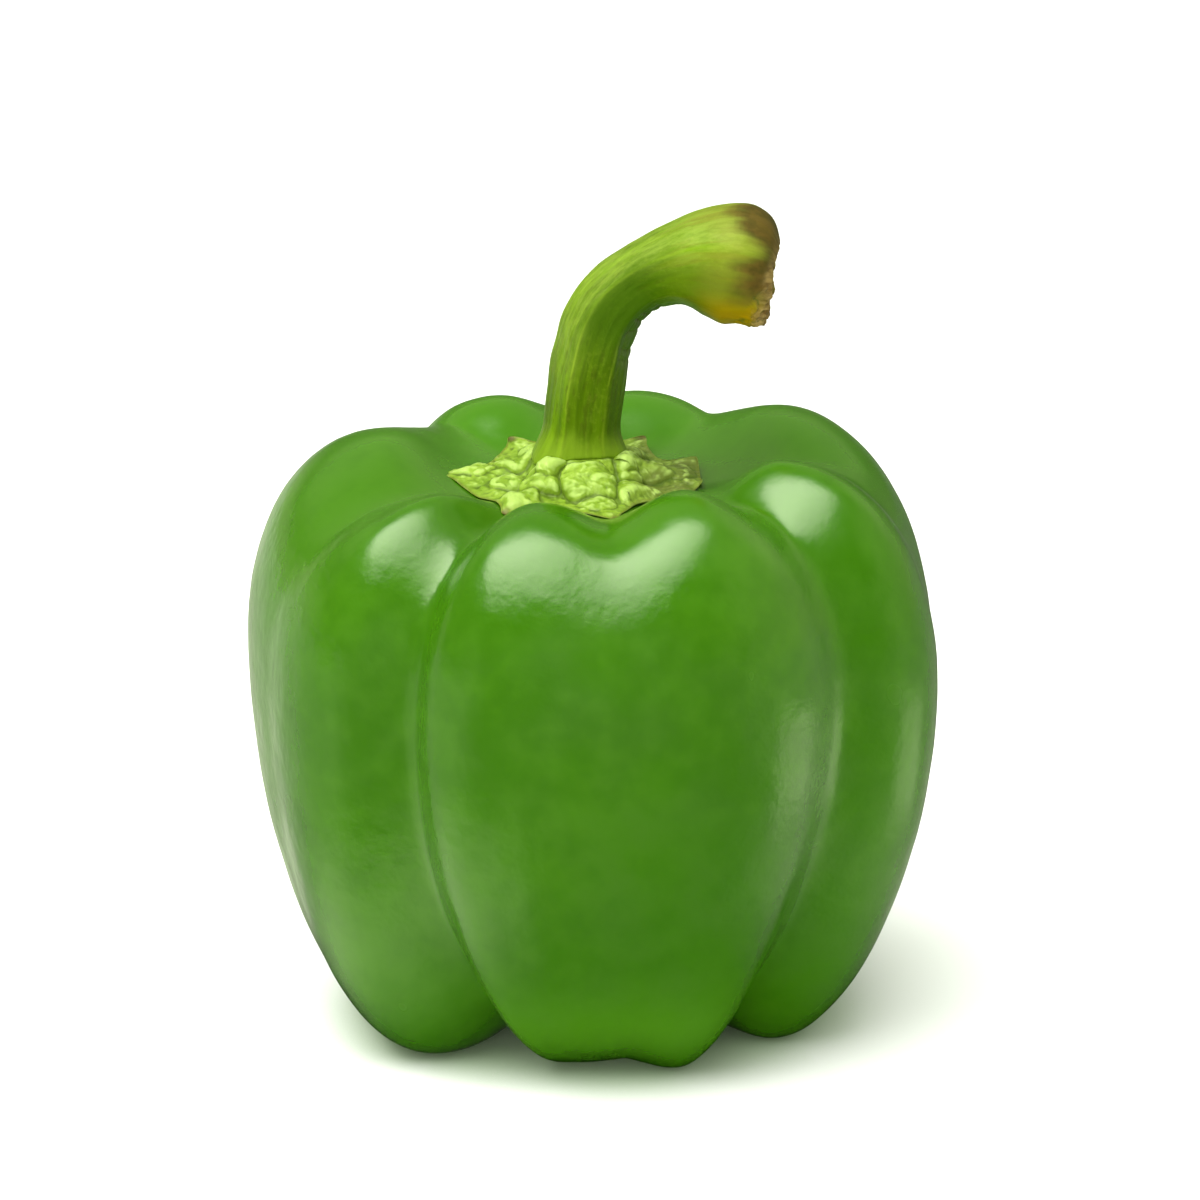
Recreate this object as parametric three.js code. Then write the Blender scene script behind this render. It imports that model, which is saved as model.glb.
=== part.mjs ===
// A green bell pepper as picked: a fruit of four double lobes that stands on its
// feet, the star-shaped calyx that caps it, and the bent, ribbed stem.
// Millimetres, +Z up. The origin is on the surface that the pepper stands on, under its
// middle. A bearing is in degrees round +Z: 0 is the front (-Y), and it grows towards
// the right (+X).

import * as THREE from "three";

// Driving dimensions of the fruit
const SEAT_HEIGHT = 71.5; // the middle of the hollow that the calyx sits in
const SEAT_STEEPNESS = 2.7; // 1 is an even slope up to the shoulder, more is a flatter seat
const NAVEL_HEIGHT = 9; // the middle of the hollow underneath
const SHOULDER_RADIUS = 26; // from the axis to the crest of a shoulder
const FOOT_FLAT = 0.6; // the depth that each foot is flattened by its load
const UPPER_FULLNESS = 2.25; // 2 is an ellipse from shoulder to belly, more is squarer
const LOBE_SQUARENESS = [2, 2.6, 2.2]; // how flat a lobe stays up to its grooves, at each level
const CREASE_RADII = [4.5, 3.6, 2.2]; // how softly a groove is rounded at its bottom, at each level

// The lobes in turn: the height of the shoulder, the radius and height of the belly, and
// the radius of the foot and fullness of the side from belly to foot. Each has the groove
// that comes before it, with its bearings and depths at shoulder, belly and foot, and how
// gently the lobe before it and the lobe after it run down into it.
const LOBES = [
  { name: "front left", shoulder: 76.5, belly: [43, 50], foot: [18, 2],
    groove: { at: [-32.5, -35, -23], depth: [5, 4.5, 7], run: [2.2, 0.5] } },
  { name: "front right", shoulder: 77.8, belly: [43, 50], foot: [23.5, 1.9],
    groove: { at: [4, 0, 9], depth: [3.3, 0.2, 1.2], run: [1, 1] } },
  { name: "right", shoulder: 78.5, belly: [47, 47.5], foot: [26, 1.7],
    groove: { at: [46, 48, 40], depth: [4.6, 4.1, 7], run: [1.5, 1.3] } },
  { name: "right rear", shoulder: 79, belly: [44, 46], foot: [24, 1.8],
    groove: { at: [78, 82, 90], depth: [3, 2, 1], run: [1, 1] } },
  { name: "back right", shoulder: 77, belly: [43, 50], foot: [24, 2],
    groove: { at: [148, 150, 150], depth: [3, 5, 8], run: [1, 1] } },
  { name: "back left", shoulder: 77, belly: [43, 50], foot: [24, 2],
    groove: { at: [190, 188, 188], depth: [2.5, 1, 1], run: [1, 1] } },
  { name: "left rear", shoulder: 77.8, belly: [45.8, 51], foot: [24, 1.8],
    groove: { at: [226, 225, 225], depth: [3, 5, 8], run: [0.7, 1.5] } },
  { name: "left front", shoulder: 75.6, belly: [45.2, 47], foot: [24.6, 2.35],
    groove: { at: [300, 289, 284], depth: [3.2, 1.2, 0.3], run: [1, 1] } },
];

// Faces of the fruit
const COLUMNS_PER_LOBE = 12;
const COLUMN_CROWDING = 0.6; // 0 is even, 1 crowds the columns towards the grooves
const HOLLOW_ROWS = 9;
const UPPER_ROWS = 12;
const LOWER_ROWS = 14;
const NAVEL_ROWS = 6;

// Faces of the calyx and the stem
const COLUMNS_PER_CORNER = 9;
const CALYX_TOP_ROWS = 13;
const CALYX_UNDER_ROWS = 5;
const COLUMNS_PER_FACE = 6;
const STEM_ROWS = 40;

const SHOULDER = 0;
const BELLY = 1;
const FOOT = 2;

// Driving dimensions of the calyx and the stem
const GAP = 0.3; // between pieces that touch
const STEM_AXIS = -2; // how far the stem stands to the right of the fruit's axis
const CALYX_THICKNESS = 0.8;
const COLLAR_HEIGHT = 76.3; // the flat top of the collar, which the stem stands on
const COLLAR_RADIUS = 5.9; // of that flat top
const COLLAR_SPREAD = 11; // where the collar has run out into the sepals
const COLLAR_STEEPNESS = 3; // 1 is a cone, more stands up closer to the stem
const MIDRIB = { height: 0.5, breadth: 1 };

// The corners of the calyx in turn: bearing from the stem, reach, how far the corner
// curls up off the fruit, how far the edge is drawn in on the way to the next corner,
// and whether a midrib runs out to the corner.
const CORNERS = [
  { bearing: 13, reach: 19.5, curl: 0, bay: 5, midrib: true },
  { bearing: 57, reach: 16, curl: 0.4, bay: 0.5, midrib: false },
  { bearing: 75, reach: 16.3, curl: 1.5, bay: 0.6, midrib: true },
  { bearing: 108, reach: 16, curl: 2.3, bay: 2.6, midrib: false },
  { bearing: 150, reach: 16, curl: 2.6, bay: 3, midrib: true },
  { bearing: 214, reach: 16, curl: 2.2, bay: 3, midrib: true },
  { bearing: 278, reach: 17.4, curl: 0.3, bay: 1.6, midrib: true },
  { bearing: 327, reach: 17, curl: 0, bay: 3, midrib: true },
];

// The main swellings of the calyx: bearing and distance from the stem, height, breadth.
const SWELLINGS = [
  [-6, 8, 0.9, 2.2],
  [24, 8, 0.9, 1.9],
  [36, 11.5, 1.2, 2.1],
  [85, 11.5, 1.3, 3],
  [132, 10, 1.2, 2.4],
  [225, 9.5, 1.1, 2],
  [277, 11.5, 1, 2.8],
  [302, 11.5, 0.8, 2.3],
  [332, 10.5, 0.8, 2],
];
const SMALL_SWELLINGS = 34;
const SMALL_SWELLING = { seed: 11, distance: [7.5, 14.5], height: [0.2, 0.4], breadth: [1, 1.4] };
const CURL_LOSS = 0.5; // the share of a corner's curl that its edge has lost halfway to the next

// The stem from its foot to the scar where it was picked: the middle of its section
// (right, forward, up), its radius, its lean to the right from upright, and its turn
// towards the front.
const STEM_SECTIONS = [
  { at: [-2, 0, 76.6], radius: 5.7, lean: 0, turn: 0 },
  { at: [-1.9, 0, 78.6], radius: 5.15, lean: 2, turn: 0 },
  { at: [-1.7, 0, 81.5], radius: 5.05, lean: 4, turn: 0 },
  { at: [-1, 0, 87], radius: 5.15, lean: 8, turn: 0 },
  { at: [0.4, 0, 92.6], radius: 5.05, lean: 20, turn: 0 },
  { at: [2.4, 0, 96.2], radius: 4.85, lean: 38, turn: 0 },
  { at: [5.5, 0, 98.8], radius: 4.8, lean: 54, turn: 3 },
  { at: [9.1, 1, 100.6], radius: 5.2, lean: 68, turn: 7 },
  { at: [13.3, 2, 101.8], radius: 6.4, lean: 82, turn: 10 },
  { at: [17.7, 3, 101.7], radius: 7.9, lean: 92, turn: 12 },
  { at: [19.8, 3.5, 101.2], radius: 7.8, lean: 97, turn: 12 },
  { at: [21.4, 3.8, 100.5], radius: 6.8, lean: 100, turn: 12 },
  { at: [22.4, 4.1, 99.4], radius: 5, lean: 102, turn: 12 },
];
const STEM_RIBS = 6;
const RIB_BEARING = -27; // one rib, seen from the stem's foot
const RIB_SHARPNESS = 0.8; // 0 is a round stem, 1 a flat-sided one
const HEAD_SHARPNESS = 0.15; // the same at the scar
const RIB_FADE = [0.31, 0.94]; // the stretch over which the ribs soften, 0 the foot, 1 the scar
const SCAR_RECESS = 0.6; // the scar's middle lies this far under its rim
const SCAR_FLOOR = [0.5, 0.85]; // how far out the scar is at its full depth, and at half
const SCAR_RAGGEDNESS = 0.5;
const SCAR_SEED = 5;

const radians = THREE.MathUtils.degToRad;
const mix = THREE.MathUtils.lerp;
const ease = (x) => (1 - Math.cos(Math.PI * Math.min(Math.max(x, 0), 1))) / 2;

// A point at a distance from the axis, on a bearing, at a height.
function place(bearing, radius, height) {
  const a = radians(bearing);
  return new THREE.Vector3(radius * Math.sin(a), -radius * Math.cos(a), height);
}

// Where a groove runs at one level, with whole turns added past the last lobe.
function grooveBearing(index, level) {
  const lobe = LOBES[index % LOBES.length];
  return lobe.groove.at[level] + (index < LOBES.length ? 0 : 360);
}

// What the fruit measures along one column of its surface. A column belongs to a lobe,
// and lies across it from -1 at the groove before it to 1 at the groove after it. The
// grooves are taken out of the smooth run from one lobe's crest to the next.
function measures(index, across) {
  const count = LOBES.length;
  const lobe = LOBES[index];
  const after = LOBES[(index + 1) % count];
  const beside = across < 0 ? LOBES[(index + count - 1) % count] : after;
  const share = ease(Math.abs(across)) / 2;
  const turn = grooveBearing(index + 1, BELLY) - grooveBearing(index, BELLY);
  const halfWidth = (radians(turn) / 2) * lobe.belly[0];
  const fromGroove = (1 - Math.abs(across)) * halfWidth;
  const run = across < 0 ? lobe.groove.run[1] : after.groove.run[0];
  const softened = (distance, level) =>
    Math.hypot(distance, run * CREASE_RADII[level]) - run * CREASE_RADII[level];
  const nearness = (level) =>
    Math.max(1 - softened(fromGroove, level) / softened(halfWidth, level), 0);
  const side = ease((1 + across) / 2);
  const depth = (level) =>
    nearness(level) ** (LOBE_SQUARENESS[level] / Math.sqrt(run)) *
    mix(lobe.groove.depth[level], after.groove.depth[level], side);
  const bearing = (level) =>
    mix(grooveBearing(index, level), grooveBearing(index + 1, level), (1 + across) / 2);
  return {
    bearings: [bearing(SHOULDER), bearing(BELLY), bearing(FOOT)],
    shoulder: mix(lobe.shoulder, beside.shoulder, share) - depth(SHOULDER),
    belly: mix(lobe.belly[0], beside.belly[0], share) - depth(BELLY),
    bellyHeight: mix(lobe.belly[1], beside.belly[1], share),
    footRadius: mix(lobe.foot[0], beside.foot[0], share) - depth(FOOT) / 2,
    fullness: mix(lobe.foot[1], beside.foot[1], share),
    footHeight: depth(FOOT) - FOOT_FLAT,
  };
}

// The height of the hollow top at a distance from the axis, below a shoulder.
function hollowHeight(shoulder, radius) {
  const out = Math.min(radius / SHOULDER_RADIUS, 1);
  return mix(SEAT_HEIGHT, shoulder, ease(Math.pow(out, SEAT_STEEPNESS)));
}

// One column of the fruit's surface, from the middle of the hollow top, over the
// shoulder and down the side to the foot, and in to the navel.
function fruitColumn(index, across) {
  const { bearings, shoulder, belly, bellyHeight, footRadius, footHeight, fullness } =
    measures(index, across);
  const points = [];
  for (let i = 1; i < HOLLOW_ROWS; i++) {
    const radius = (SHOULDER_RADIUS * i) / HOLLOW_ROWS;
    points.push(place(bearings[SHOULDER], radius, hollowHeight(shoulder, radius)));
  }
  for (let i = 0; i < UPPER_ROWS; i++) {
    const a = (Math.PI / 2) * (i / UPPER_ROWS);
    const out = Math.pow(Math.sin(a), 2 / UPPER_FULLNESS);
    const up = Math.pow(Math.cos(a), 2 / UPPER_FULLNESS);
    const bearing = mix(bearings[SHOULDER], bearings[BELLY], ease(i / UPPER_ROWS));
    points.push(place(bearing, mix(SHOULDER_RADIUS, belly, out), mix(bellyHeight, shoulder, up)));
  }
  for (let i = 0; i <= LOWER_ROWS; i++) {
    const a = (Math.PI / 2) * (i / LOWER_ROWS);
    const out = Math.pow(Math.cos(a), 2 / fullness);
    const down = Math.pow(Math.sin(a), 2 / fullness);
    const bearing = mix(bearings[BELLY], bearings[FOOT], ease(i / LOWER_ROWS));
    const height = Math.max(mix(bellyHeight, footHeight, down), 0);
    points.push(place(bearing, mix(footRadius, belly, out), height));
  }
  for (let i = 1; i < NAVEL_ROWS; i++) {
    const out = 1 - i / NAVEL_ROWS;
    const height = Math.max(mix(NAVEL_HEIGHT, footHeight, ease(out)), 0);
    points.push(place(bearings[FOOT], footRadius * out, height));
  }
  return points;
}

// A closed mesh from rings of points, all of one length and turning the same way,
// with a pole at each end.
function loft(rings, firstPole, lastPole) {
  const count = rings[0].length;
  const points = [firstPole, ...rings.flat(), lastPole];
  const last = points.length - 1;
  const faces = [];
  for (let j = 0; j < count; j++) {
    const k = (j + 1) % count;
    faces.push(0, 1 + j, 1 + k);
    for (let i = 0; i + 1 < rings.length; i++) {
      const upper = 1 + i * count;
      const lower = upper + count;
      faces.push(upper + j, lower + j, lower + k);
      faces.push(upper + j, lower + k, upper + k);
    }
    const end = 1 + (rings.length - 1) * count;
    faces.push(end + j, last, end + k);
  }
  const geometry = new THREE.BufferGeometry().setFromPoints(points);
  geometry.setIndex(faces);
  geometry.computeVertexNormals();
  return geometry;
}

// The fruit's columns, closest together beside the grooves.
function fruitGeometry() {
  const columns = [];
  LOBES.forEach((lobe, index) => {
    for (let i = 0; i < COLUMNS_PER_LOBE; i++) {
      const even = i / COLUMNS_PER_LOBE;
      columns.push(fruitColumn(index, 2 * mix(even, ease(even), COLUMN_CROWDING) - 1));
    }
  });
  const rings = columns[0].map((_, row) => columns.map((column) => column[row]));
  return loft(
    rings,
    new THREE.Vector3(0, 0, SEAT_HEIGHT),
    new THREE.Vector3(0, 0, NAVEL_HEIGHT),
  );
}

// The height of the fruit's hollow top under any point of it.
function seatUnder(x, y) {
  const start = grooveBearing(0, SHOULDER);
  const turned = THREE.MathUtils.radToDeg(Math.atan2(x, -y)) - start;
  const bearing = start + THREE.MathUtils.euclideanModulo(turned, 360);
  const index = LOBES.findIndex((_, i) => bearing < grooveBearing(i + 1, SHOULDER));
  const from = grooveBearing(index, SHOULDER);
  const share = (bearing - from) / (grooveBearing(index + 1, SHOULDER) - from);
  const { shoulder } = measures(index, 2 * share - 1);
  return hollowHeight(shoulder, Math.hypot(x, y));
}

// The swellings, the small ones drawn at random from a seed.
function allSwellings() {
  const { seed, distance, height, breadth } = SMALL_SWELLING;
  THREE.MathUtils.seededRandom(seed);
  const draw = ([least, most]) => mix(least, most, THREE.MathUtils.seededRandom());
  const small = Array.from({ length: SMALL_SWELLINGS }, () => [
    draw([0, 360]),
    draw(distance),
    draw(height),
    draw(breadth),
  ]);
  return [...SWELLINGS, ...small].map(([bearing, away, up, across]) => ({
    middle: place(bearing, away, 0),
    up,
    across,
  }));
}

// How much a midrib raises the calyx on a bearing, at a distance from the stem.
function midribs(bearing, distance) {
  const ribs = CORNERS.filter((corner) => corner.midrib).map((corner) => {
    const off = distance * Math.sin(radians(bearing - corner.bearing) / 2) * 2;
    return Math.exp(-((off / MIDRIB.breadth) ** 2));
  });
  return MIDRIB.height * Math.max(...ribs);
}

// One column of the calyx, from the stem out over its top to the edge and back
// underneath, along the seat.
function calyxColumn(bearing, reach, curl, swellings) {
  const under = (share) => {
    const point = place(bearing, reach * share, 0).add(new THREE.Vector3(STEM_AXIS, 0, 0));
    point.z = seatUnder(point.x, point.y) + GAP + curl * share ** 3;
    return point;
  };
  const top = (share) => {
    const point = under(share);
    const distance = reach * share;
    const flat = place(bearing, distance, 0);
    const swell = swellings.map(({ middle, up, across }) =>
      up * Math.exp(-flat.distanceToSquared(middle) / across ** 2));
    const relief = swell.reduce((sum, one) => sum + one, midribs(bearing, distance));
    const atEdge = 1 - share ** 4;
    const spread = (distance - COLLAR_RADIUS) / (COLLAR_SPREAD - COLLAR_RADIUS);
    const collar = (1 - THREE.MathUtils.clamp(spread, 0, 1)) ** COLLAR_STEEPNESS;
    const sepal = point.z + CALYX_THICKNESS + relief * atEdge;
    point.z = mix(sepal, COLLAR_HEIGHT, collar);
    return point;
  };
  const points = [];
  for (let i = 1; i <= CALYX_TOP_ROWS; i++) points.push(top(i / CALYX_TOP_ROWS));
  for (let i = 0; i < CALYX_UNDER_ROWS; i++) points.push(under(1 - i / CALYX_UNDER_ROWS));
  return points;
}

function calyxGeometry() {
  const swellings = allSwellings();
  const columns = [];
  CORNERS.forEach((corner, index) => {
    const next = CORNERS[(index + 1) % CORNERS.length];
    const turn = THREE.MathUtils.euclideanModulo(next.bearing - corner.bearing, 360);
    for (let i = 0; i < COLUMNS_PER_CORNER; i++) {
      const share = i / COLUMNS_PER_CORNER;
      const bay = corner.bay * Math.sin(Math.PI * share);
      const reach = mix(corner.reach, next.reach, share) - bay;
      const kept = 1 - CURL_LOSS * Math.sin(Math.PI * share);
      const curl = mix(corner.curl, next.curl, share) * kept;
      columns.push(calyxColumn(corner.bearing + turn * share, reach, curl, swellings));
    }
  });
  const rings = columns[0].map((_, row) => columns.map((column) => column[row]));
  return loft(
    rings,
    new THREE.Vector3(STEM_AXIS, 0, COLLAR_HEIGHT),
    new THREE.Vector3(STEM_AXIS, 0, seatUnder(STEM_AXIS, 0) + GAP),
  );
}

// The stem, from the scar back along its bend to its foot.
function stemGeometry() {
  const path = new THREE.CatmullRomCurve3(
    STEM_SECTIONS.map(({ at }) => new THREE.Vector3(at[0], -at[1], at[2])),
    false,
    "catmullrom",
  );
  const shape = new THREE.CatmullRomCurve3(
    STEM_SECTIONS.map(({ radius, lean, turn }) => new THREE.Vector3(radius, lean, turn)),
    false,
    "catmullrom",
  );
  const count = STEM_RIBS * COLUMNS_PER_FACE;
  const faceTurn = 360 / STEM_RIBS;
  THREE.MathUtils.seededRandom(SCAR_SEED);
  const ragged = Array.from({ length: count }, () => THREE.MathUtils.seededRandom() - 0.5);

  const section = (share, size, sunk, roughness) => {
    const middle = path.getPoint(share);
    const form = shape.getPoint(share);
    const lean = radians(form.y);
    const turn = radians(form.z);
    const forward = new THREE.Vector3(
      Math.sin(lean) * Math.cos(turn),
      -Math.sin(lean) * Math.sin(turn),
      Math.cos(lean),
    );
    const side = new THREE.Vector3(-Math.sin(turn), -Math.cos(turn), 0);
    const inward = new THREE.Vector3().crossVectors(side, forward).negate();
    const fade = ease((share - RIB_FADE[0]) / (RIB_FADE[1] - RIB_FADE[0]));
    const sharpness = mix(RIB_SHARPNESS, HEAD_SHARPNESS, fade);
    return Array.from({ length: count }, (_, j) => {
      const bearing = RIB_BEARING + (360 * j) / count;
      const fromRib = THREE.MathUtils.euclideanModulo(bearing - RIB_BEARING, faceTurn);
      const flat = Math.cos(radians(faceTurn / 2)) / Math.cos(radians(fromRib - faceTurn / 2));
      const radius = form.x * size * mix(1, flat, sharpness);
      return middle
        .clone()
        .addScaledVector(side, radius * Math.cos(radians(bearing)))
        .addScaledVector(inward, radius * Math.sin(radians(bearing)))
        .addScaledVector(forward, roughness * ragged[j] - sunk);
    });
  };

  const rings = [
    section(1, SCAR_FLOOR[0], SCAR_RECESS, 0),
    section(1, SCAR_FLOOR[1], SCAR_RECESS / 2, 0),
  ];
  for (let i = 0; i <= STEM_ROWS; i++) {
    rings.push(section(1 - i / STEM_ROWS, 1, 0, i === 0 ? SCAR_RAGGEDNESS : 0));
  }
  const middleOf = (ring) =>
    ring.reduce((sum, point) => sum.add(point), new THREE.Vector3()).divideScalar(count);
  return loft(rings, middleOf(rings[0]), middleOf(rings[rings.length - 1]));
}

const skin = new THREE.MeshStandardMaterial({ color: 0x3f7d14, roughness: 0.25, metalness: 0 });
const calyxGreen = new THREE.MeshStandardMaterial({ color: 0x8aae2b, roughness: 0.6, metalness: 0 });
const stemGreen = new THREE.MeshStandardMaterial({ color: 0x5f8a14, roughness: 0.5, metalness: 0 });

function mesh(name, geometry, material) {
  const made = new THREE.Mesh(geometry, material);
  made.name = name;
  return made;
}

const pepper = new THREE.Group();
pepper.add(mesh("fruit", fruitGeometry(), skin));
pepper.add(mesh("calyx", calyxGeometry(), calyxGreen));
pepper.add(mesh("stem", stemGeometry(), stemGreen));

// The origin goes under the middle of the whole.
const middle = new THREE.Box3().setFromObject(pepper).getCenter(new THREE.Vector3());
pepper.children.forEach(({ geometry }) => geometry.translate(-middle.x, -middle.y, 0));

export default pepper;
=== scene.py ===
"""The looks of a green bell pepper: its waxy skin, the lumpy calyx and the ribbed,
bent stem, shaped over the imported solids. Metres, +Z up, front at -Y. A bearing runs
from the front towards the right, in degrees unless its comment says otherwise."""

import math
from types import SimpleNamespace

import bpy
import numpy as np
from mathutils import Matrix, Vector, noise
from mathutils.bvhtree import BVHTree
from mathutils.kdtree import KDTree


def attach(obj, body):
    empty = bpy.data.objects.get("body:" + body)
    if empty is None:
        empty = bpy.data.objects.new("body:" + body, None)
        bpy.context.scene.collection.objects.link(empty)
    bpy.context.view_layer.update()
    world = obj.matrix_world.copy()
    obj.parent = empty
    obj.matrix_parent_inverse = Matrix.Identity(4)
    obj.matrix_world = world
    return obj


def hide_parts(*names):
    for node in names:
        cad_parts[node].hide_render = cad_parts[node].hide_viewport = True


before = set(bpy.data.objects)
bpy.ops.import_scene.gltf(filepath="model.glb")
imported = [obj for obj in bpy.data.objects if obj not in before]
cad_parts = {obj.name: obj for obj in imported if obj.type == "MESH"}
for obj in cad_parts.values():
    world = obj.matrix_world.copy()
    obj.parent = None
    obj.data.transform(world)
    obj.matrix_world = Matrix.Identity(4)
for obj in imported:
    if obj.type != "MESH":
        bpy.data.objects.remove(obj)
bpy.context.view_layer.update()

MM = 0.001


# Small helpers
WELD = 2e-6  # corners closer than this are one corner
FLAT_PAIR = math.radians(60)  # two triangles bent less than this make one quad


def only(piece):
    """Makes one piece the selected and active one."""
    bpy.ops.object.select_all(action="DESELECT")
    piece.select_set(True)
    bpy.context.view_layer.objects.active = piece


def skin_of(node, name):
    """A copy of a CAD node as one closed skin of quads."""
    piece = bpy.data.objects.new(name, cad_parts[node].data.copy())
    bpy.context.scene.collection.objects.link(piece)
    only(piece)
    bpy.ops.mesh.customdata_custom_splitnormals_clear()
    bpy.ops.object.mode_set(mode="EDIT")
    bpy.ops.mesh.select_all(action="SELECT")
    bpy.ops.mesh.remove_doubles(threshold=WELD)
    bpy.ops.mesh.tris_convert_to_quads(face_threshold=FLAT_PAIR, shape_threshold=FLAT_PAIR)
    bpy.ops.mesh.mark_sharp(clear=True)
    bpy.ops.object.mode_set(mode="OBJECT")
    bpy.ops.object.shade_smooth()
    piece.data.materials.clear()
    return piece


def refine(piece, levels):
    """Rounds a piece off by subdivision."""
    only(piece)
    rounding = piece.modifiers.new("rounding", "SUBSURF")
    rounding.levels = rounding.render_levels = levels
    bpy.ops.object.modifier_apply(modifier=rounding.name)


def swell(piece, size, depth):
    """Raises and sinks a piece's surface in soft lumps of one size."""
    only(piece)
    lumps = bpy.data.textures.new(f"{piece.name} lumps {size / MM:g}", "CLOUDS")
    lumps.noise_basis = "IMPROVED_PERLIN"
    lumps.noise_scale = size
    lumps.noise_depth = 1
    lift = piece.modifiers.new("lumps", "DISPLACE")
    lift.texture = lumps
    lift.texture_coords = "LOCAL"
    lift.mid_level = 0.5
    lift.strength = depth
    bpy.ops.object.modifier_apply(modifier=lift.name)


def points_of(piece):
    """The piece's vertices as an array, a row for each."""
    points = np.empty(len(piece.data.vertices) * 3, np.float32)
    piece.data.vertices.foreach_get("co", points)
    return points.reshape(-1, 3).astype(float)


def normals_of(piece):
    """The way each vertex faces, a row for each."""
    normals = np.empty(len(piece.data.vertices) * 3, np.float32)
    piece.data.vertices.foreach_get("normal", normals)
    return normals.reshape(-1, 3).astype(float)


def move_points(piece, points):
    """Puts the piece's vertices where the rows of an array say."""
    piece.data.vertices.foreach_set("co", points.astype(np.float32).ravel())
    piece.data.update()


def note(piece, name, values):
    """Keeps a number or a vector for each vertex, for a material to read."""
    values = np.asarray(values, np.float32)
    kind = "FLOAT" if values.ndim == 1 else "FLOAT_VECTOR"
    kept = piece.data.attributes.new(name, kind, "POINT")
    kept.data.foreach_set("value" if values.ndim == 1 else "vector", values.ravel())


def smoothed(piece, rounds):
    """The piece's vertices after rounds of drawing each towards those round it."""
    points = points_of(piece)
    edges = np.empty(len(piece.data.edges) * 2, np.int64)
    piece.data.edges.foreach_get("vertices", edges)
    a, b = edges.reshape(-1, 2).T
    count = np.bincount(np.concatenate([a, b]), minlength=len(points))[:, None]
    smooth = points.copy()
    for _ in range(rounds):
        total = np.zeros_like(smooth)
        np.add.at(total, a, smooth[b])
        np.add.at(total, b, smooth[a])
        smooth = (smooth + total / count) / 2
    return smooth


def hollows(piece, rounds):
    """How far each vertex lies under the mean of those round it, in millimetres."""
    away = smoothed(piece, rounds) - points_of(piece)
    return np.einsum("ij,ij->i", away, normals_of(piece)) / MM


def ease(values, low, high):
    """0 below low, 1 above high, and smooth between."""
    share = np.clip((values - low) / (high - low), 0, 1)
    return share * share * (3 - 2 * share)


def turn_from(bearing, middle):
    """How far a bearing lies from a middle one, from -180 to 180 degrees."""
    return (bearing - middle + 180) % 360 - 180


def on_side(bearing, middle, low, high):
    """1 on the side with that middle bearing and 0 on the other. Low and high are
    cosines of the angle off the middle."""
    return ease(np.cos(np.radians(bearing - middle)), low, high)


def ripple(points, size, seed):
    """Soft waves from -1 to 1."""
    scaled = points / size
    offset = Vector((seed * 5.1, seed * 2.7, seed * 9.2))
    return np.array([noise.noise(Vector(p) + offset) for p in scaled])


# Nodes
class Finish:
    """A material, or a node group, that is built up one node at a time."""

    def __init__(self, tree):
        self.tree = tree

    def fill(self, socket, value):
        """Sets a socket, or joins it to the socket that its value comes from."""
        if isinstance(value, bpy.types.NodeSocket):
            self.tree.links.new(value, socket)
        else:
            socket.default_value = value

    def fill_all(self, node, values):
        """Fills several inputs of a node, by their names or numbers."""
        for key, value in values.items():
            self.fill(node.inputs[key], value)

    def add(self, kind, inputs=None, output=0, **settings):
        made = self.tree.nodes.new(kind)
        for key, value in settings.items():
            setattr(made, key, value)
        self.fill_all(made, inputs or {})
        return made.outputs[output]

    def place(self):
        """The place on the object, in metres."""
        return self.add("ShaderNodeTexCoord", output=3)

    def stretched(self, where, share):
        """A place whose height counts only for a share, so that noise runs in streaks."""
        return self.add("ShaderNodeMapping", {"Vector": where, "Scale": (1.0, 1.0, share)})

    def split(self, vector):
        parts = self.tree.nodes.new("ShaderNodeSeparateXYZ")
        self.tree.links.new(vector, parts.inputs[0])
        return parts.outputs

    def kept(self, name, vector=False):
        """What note() kept on the piece."""
        return self.add("ShaderNodeAttribute", output=1 if vector else 2, attribute_name=name)

    def noise(self, where, scale, detail=2.0, roughness=0.5):
        values = {"Vector": where, "Scale": scale, "Detail": detail, "Roughness": roughness}
        return self.add("ShaderNodeTexNoise", values)

    def cells(self, where, scale):
        return self.add("ShaderNodeTexVoronoi", {"Vector": where, "Scale": scale})

    def sums(self, operation, a, b=0.0, c=0.0):
        return self.add("ShaderNodeMath", {0: a, 1: b, 2: c}, operation=operation)

    def times(self, first, *others):
        """The product of two or more values."""
        for other in others:
            first = self.sums("MULTIPLY", first, other)
        return first

    def plus(self, first, *others):
        """The sum of two or more values."""
        for other in others:
            first = self.sums("ADD", first, other)
        return first

    def band(self, value, low, high, start=0.0, end=1.0):
        """Start at low, end at high, smooth between and level past both. Low may be the
        larger of the two."""
        ends = {"From Min": low, "From Max": high, "To Min": start, "To Max": end}
        return self.add(
            "ShaderNodeMapRange", {"Value": value, **ends}, interpolation_type="SMOOTHSTEP"
        )

    def blend(self, share, a, b):
        """One colour turning into another by a share."""
        return self.add("ShaderNodeMix", {0: share, 6: a, 7: b}, output=2, data_type="RGBA")

    def painted(self, base, coats):
        """Coats of colour laid over a base one by one, each by its share."""
        for share, coat in coats:
            base = self.blend(share, base, coat)
        return base

    def relief(self, layers):
        """Bumps laid one over the other: what raises each, how strongly and how deep."""
        normal = None
        for height, strength, depth in layers:
            inputs = {"Height": height, "Strength": strength, "Distance": depth}
            if normal is not None:
                inputs["Normal"] = normal
            normal = self.add("ShaderNodeBump", inputs)
        return normal

    def bearing(self, x, y):
        """The bearing of a place or a way, in radians."""
        return self.sums("ARCTAN2", x, self.times(y, -1.0))


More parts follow.
